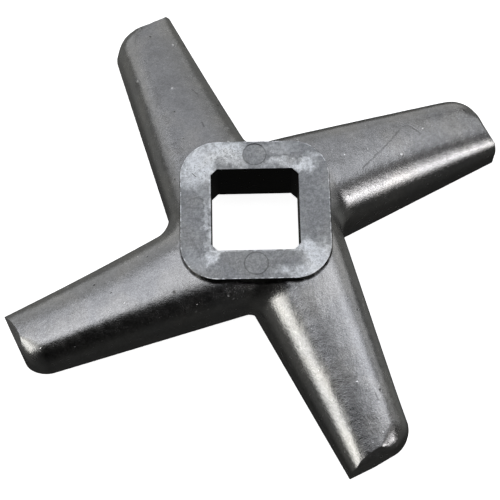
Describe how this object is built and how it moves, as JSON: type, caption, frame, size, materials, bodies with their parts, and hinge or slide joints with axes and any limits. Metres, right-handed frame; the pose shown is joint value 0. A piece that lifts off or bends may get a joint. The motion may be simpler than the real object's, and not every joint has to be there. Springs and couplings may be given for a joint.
{
  "type": "meat grinder knife",
  "caption": "Cross-shaped grinder knife: a square hub with a square drive bore and tapered arms, each with a straight sharp leading edge and a flat ground underside.",
  "frame": {"origin": "on the axis of the square bore, in the plane of the ground cutting faces that rest on the hole plate", "axes": "+Z along the bore axis towards the raised hub, away from the hole plate; X and Y are square to the flats of the bore and of the hub"},
  "size_m": [0.0908, 0.0908, 0.0154],
  "materials": {
    "cast_steel": "as-cast satin stainless steel with a fine grain"
  },
  "bodies": {
    "root": {"knife": "cast_steel"}
  },
  "joints": []
}
